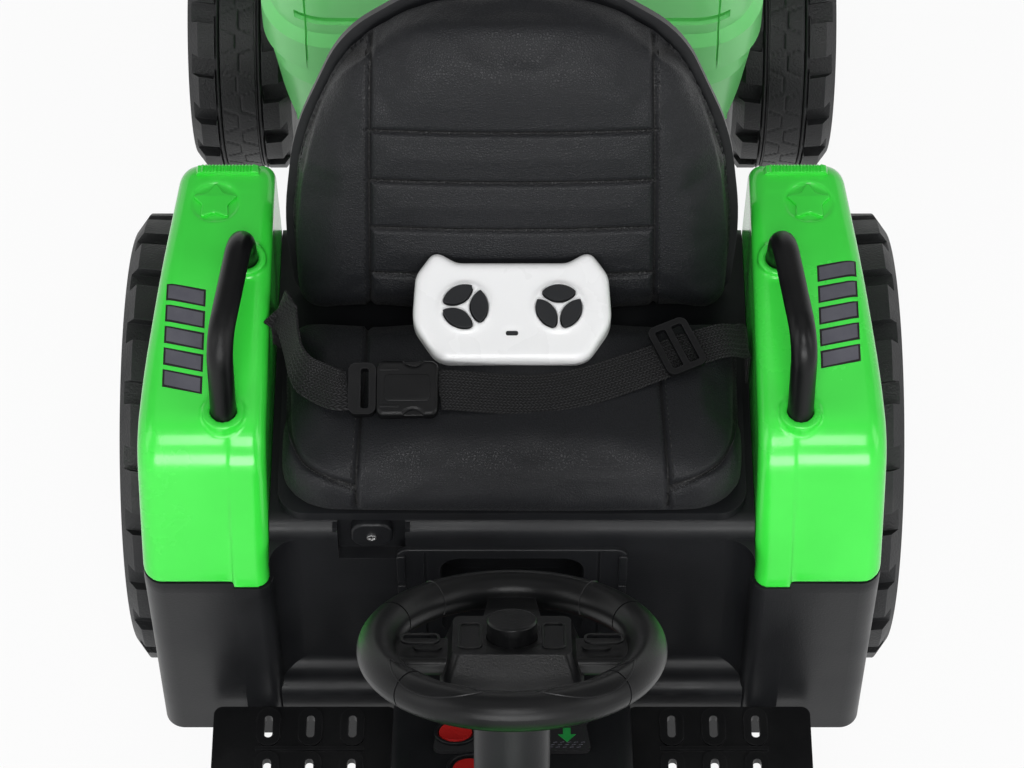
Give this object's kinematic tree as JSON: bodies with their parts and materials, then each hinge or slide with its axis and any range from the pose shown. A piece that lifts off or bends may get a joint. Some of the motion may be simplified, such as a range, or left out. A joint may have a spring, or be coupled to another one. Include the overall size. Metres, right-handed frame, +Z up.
{
  "type": "ride on tractor toy",
  "caption": "Battery ride-on tractor for a child, with a padded seat and lap belt, steered front wheels, fenders with grab handles, and a hitched two-wheel trailer.",
  "frame": {"origin": "on the floor, at the middle of the length and width of tractor and trailer", "axes": "+X to the driver's left, +Y to the rear along the length, +Z up; the tractor faces -Y"},
  "size_m": [0.5, 1.34, 0.5142],
  "materials": {
    "black_plastic": "satin moulded",
    "green_plastic": "gloss moulded",
    "pale_green_plastic": "gloss moulded",
    "wheel_plastic": "grained",
    "grey_plastic": "satin",
    "leatherette": "grained",
    "webbing": "woven",
    "zinc_steel": "zinc plated",
    "red_plastic": "gloss",
    "white_plastic": "gloss",
    "clear_lens": "clear",
    "key_rubber": "matt"
  },
  "bodies": {
    "tractor": {"rear_body": "black_plastic", "left_fender": "green_plastic", "right_fender": "green_plastic", "grab_handles": "black_plastic", "access_panel": "black_plastic", "left_footboard": "black_plastic", "right_footboard": "black_plastic", "console": "black_plastic", "switch_panel": "grey_plastic", "steering_column": "black_plastic", "front_axle_beam": "zinc_steel", "chassis": "black_plastic", "hood": "green_plastic", "grille": "black_plastic", "headlights": "clear_lens", "exhaust_stack": "black_plastic", "rear_axle": "zinc_steel", "gear_motors": "grey_plastic", "battery": "grey_plastic", "control_box": "grey_plastic", "hitch_bracket": "zinc_steel", "hitch_pin": "zinc_steel"},
    "seat": {"seat_shell": "black_plastic", "seat_cushion": "leatherette", "back_cushion": "leatherette", "belt_left_strap": "webbing", "belt_right_strap": "webbing", "belt_buckle_plug": "black_plastic", "belt_buckle_socket": "black_plastic", "belt_slider": "black_plastic"},
    "latch": {"seat_latch": "black_plastic"},
    "steering": {"steering_wheel": "black_plastic", "steering_shaft": "zinc_steel"},
    "horn": {"horn_button": "black_plastic"},
    "left_steering_knuckle": {"left_knuckle": "zinc_steel"},
    "right_steering_knuckle": {"right_knuckle": "zinc_steel"},
    "tie_bar": {"tie_rod": "zinc_steel"},
    "light_rocker": {"light_switch": "red_plastic"},
    "direction_rocker": {"direction_switch": "black_plastic"},
    "start": {"start_button": "red_plastic"},
    "pedal": {"accelerator_pedal": "black_plastic"},
    "trailer": {"trailer_drawbar": "black_plastic", "trailer_tub": "pale_green_plastic", "trailer_boards": "pale_green_plastic", "trailer_axle": "zinc_steel"},
    "remote": {"remote_shell": "white_plastic"},
    "left_keys": {"remote_left_keys": "key_rubber"},
    "right_keys": {"remote_right_keys": "key_rubber"},
    "left_rear_roller": {"left_rear_wheel": "wheel_plastic", "left_rear_hubcap": "grey_plastic"},
    "left_front_roller": {"left_front_wheel": "wheel_plastic", "left_front_hubcap": "grey_plastic"},
    "left_trailer_roller": {"left_trailer_wheel": "wheel_plastic", "left_trailer_hubcap": "grey_plastic"},
    "right_rear_roller": {"right_rear_wheel": "wheel_plastic", "right_rear_hubcap": "grey_plastic"},
    "right_front_roller": {"right_front_wheel": "wheel_plastic", "right_front_hubcap": "grey_plastic"},
    "right_trailer_roller": {"right_trailer_wheel": "wheel_plastic", "right_trailer_hubcap": "grey_plastic"}
  },
  "joints": [
    {"name": "left_rear_wheel_spin", "type": "hinge", "parent": "tractor", "child": "left_rear_roller", "pos_m": [0.207, 0.075, 0.15], "axis": [1, 0, 0], "continuous": true},
    {"name": "left_front_wheel_spin", "type": "hinge", "parent": "left_steering_knuckle", "child": "left_front_roller", "pos_m": [0.181, -0.515, 0.1025], "axis": [1, 0, 0], "continuous": true},
    {"name": "left_trailer_wheel_spin", "type": "hinge", "parent": "trailer", "child": "left_trailer_roller", "pos_m": [0.199, 0.475, 0.1025], "axis": [1, 0, 0], "continuous": true},
    {"name": "right_rear_wheel_spin", "type": "hinge", "parent": "tractor", "child": "right_rear_roller", "pos_m": [-0.207, 0.075, 0.15], "axis": [1, 0, 0], "continuous": true},
    {"name": "right_front_wheel_spin", "type": "hinge", "parent": "right_steering_knuckle", "child": "right_front_roller", "pos_m": [-0.181, -0.515, 0.1025], "axis": [1, 0, 0], "continuous": true},
    {"name": "right_trailer_wheel_spin", "type": "hinge", "parent": "trailer", "child": "right_trailer_roller", "pos_m": [-0.199, 0.475, 0.1025], "axis": [1, 0, 0], "continuous": true},
    {"name": "steering_turn", "type": "hinge", "parent": "tractor", "child": "steering", "pos_m": [0, -0.258, 0.43], "axis": [0, 0.5373, 0.8434], "range_deg": [-24, 24]},
    {"name": "left_kingpin", "type": "hinge", "parent": "tractor", "child": "left_steering_knuckle", "pos_m": [0.128, -0.515, 0.1025], "axis": [0, 0, 1], "range_deg": [-24, 24]},
    {"name": "right_kingpin", "type": "hinge", "parent": "tractor", "child": "right_steering_knuckle", "pos_m": [-0.128, -0.515, 0.1025], "axis": [0, 0, 1], "range_deg": [-24, 24]},
    {"name": "tie_rod_pivot", "type": "hinge", "parent": "left_steering_knuckle", "child": "tie_bar", "pos_m": [0.128, -0.471, 0.1035], "axis": [0, 0, 1], "range_deg": [-24, 24]},
    {"name": "horn_press", "type": "slide", "parent": "steering", "child": "horn", "axis": [0, -0.5373, -0.8434], "range_m": [0, 0.003], "stiffness_N_per_m": 300, "springref_m": -0.001},
    {"name": "light_rock", "type": "hinge", "parent": "tractor", "child": "light_rocker", "pos_m": [-0.035, -0.18823, 0.20669], "axis": [1, 0, 0], "range_deg": [-8, 8]},
    {"name": "direction_rock", "type": "hinge", "parent": "tractor", "child": "direction_rocker", "pos_m": [0.036, -0.17015, 0.19813], "axis": [1, 0, 0], "range_deg": [-8, 8]},
    {"name": "start_press", "type": "slide", "parent": "tractor", "child": "start", "axis": [0, -0.4277, -0.9039], "range_m": [0, 0.002], "stiffness_N_per_m": 300, "springref_m": -0.001},
    {"name": "pedal_press", "type": "hinge", "parent": "tractor", "child": "pedal", "pos_m": [-0.132, -0.255, 0.12], "axis": [1, 0, 0], "range_deg": [0, 10], "stiffness_Nm_per_rad": 1.5, "springref_deg": -6.88},
    {"name": "seat_tilt", "type": "hinge", "parent": "tractor", "child": "seat", "pos_m": [0, 0.094, 0.298], "axis": [-1, 0, 0], "range_deg": [0, 35]},
    {"name": "latch_slide", "type": "slide", "parent": "tractor", "child": "latch", "axis": [0, 0, -1], "range_m": [0, 0.006], "stiffness_N_per_m": 200, "springref_m": -0.002},
    {"name": "hitch_yaw", "type": "hinge", "parent": "tractor", "child": "trailer", "pos_m": [0, 0.265, 0.1], "axis": [0, 0, 1], "range_deg": [-30, 30]},
    {"name": "remote_lift", "type": "slide", "parent": "seat", "child": "remote", "axis": [0, 0, 1], "range_m": [0, 0.06]},
    {"name": "remote_left_keys_press", "type": "slide", "parent": "remote", "child": "left_keys", "axis": [0, 0.2756, -0.9613], "range_m": [0, 0.001], "stiffness_N_per_m": 250, "springref_m": -0.001},
    {"name": "remote_right_keys_press", "type": "slide", "parent": "remote", "child": "right_keys", "axis": [0, 0.2756, -0.9613], "range_m": [0, 0.001], "stiffness_N_per_m": 250, "springref_m": -0.001}
  ],
  "couplings": [
    {"joint": "left_kingpin", "follows": "steering_turn", "ratio": 1},
    {"joint": "right_kingpin", "follows": "steering_turn", "ratio": 1},
    {"joint": "tie_rod_pivot", "follows": "steering_turn", "ratio": -1}
  ]
}
